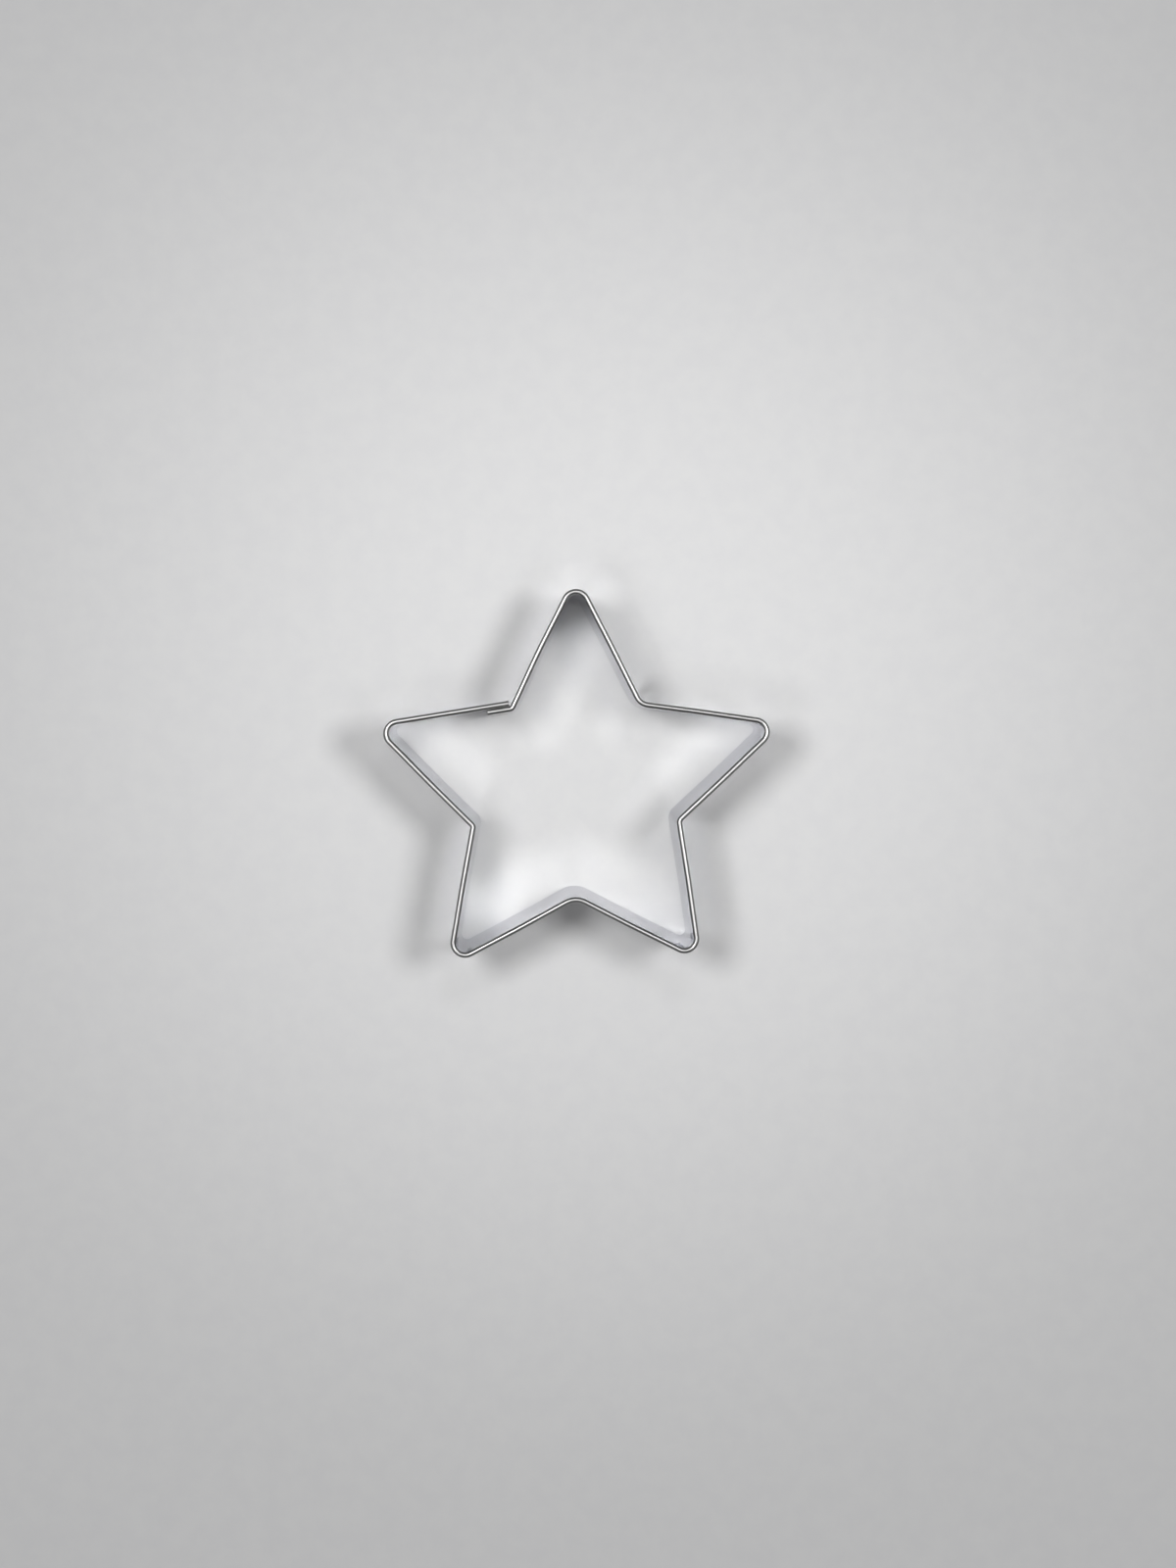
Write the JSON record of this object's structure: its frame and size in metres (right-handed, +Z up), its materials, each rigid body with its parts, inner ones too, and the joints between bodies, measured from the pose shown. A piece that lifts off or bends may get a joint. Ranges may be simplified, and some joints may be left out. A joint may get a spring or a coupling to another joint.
{
  "type": "cookie cutter",
  "caption": "Star-shaped cookie cutter: a thin steel strip with a hemmed rim, bent into a five-pointed star, lapped and spot-welded.",
  "frame": {"origin": "centre of the plan's bounding box, on the surface that the cutting edge stands on", "axes": "+Z up from the cutting edge to the rim, +Y towards the top tip, +X towards the right tip"},
  "size_m": [0.07, 0.0668, 0.022],
  "materials": {
    "strip_steel": "bright cold-rolled stainless sheet with faint rolling marks along the strip",
    "weld_steel": "dull pressed weld spot with a slight heat tint"
  },
  "bodies": {
    "root": {"cutter_band": "strip_steel", "spot_weld_1": "weld_steel", "spot_weld_2": "weld_steel", "spot_weld_3": "weld_steel"}
  },
  "joints": []
}
